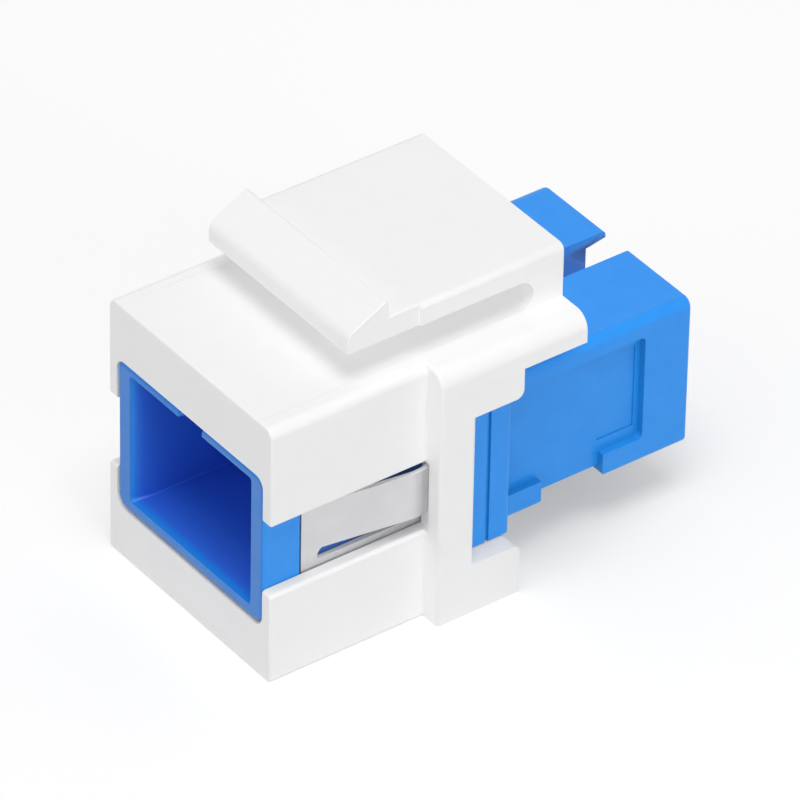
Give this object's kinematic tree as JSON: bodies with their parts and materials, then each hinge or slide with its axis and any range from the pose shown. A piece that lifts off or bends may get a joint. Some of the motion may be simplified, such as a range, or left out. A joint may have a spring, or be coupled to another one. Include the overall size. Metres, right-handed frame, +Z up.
{
  "type": "fiber keystone jack",
  "caption": "Snap-in frame with a flexing top latch around a simplex fibre coupler, with a plug port at each end, a side spring clip and a split alignment sleeve",
  "frame": {"origin": "under the middle of the bounding box, on the plane the jack stands on", "axes": "+X right seen from the front, +Y from the front port to the rear port, +Z up towards the latch"},
  "size_m": [0.017, 0.0278, 0.0206],
  "materials": {
    "white_plastic": "satin moulded plastic",
    "blue_plastic": "satin moulded plastic",
    "spring_steel": "rolled stainless sheet",
    "white_ceramic": "ground zirconia"
  },
  "bodies": {
    "root": {"keystone_frame": "white_plastic", "front_housing": "blue_plastic", "rear_housing": "blue_plastic", "spring_clip": "spring_steel", "front_latch_insert": "blue_plastic", "rear_latch_insert": "blue_plastic", "split_sleeve": "white_ceramic"}
  },
  "joints": []
}
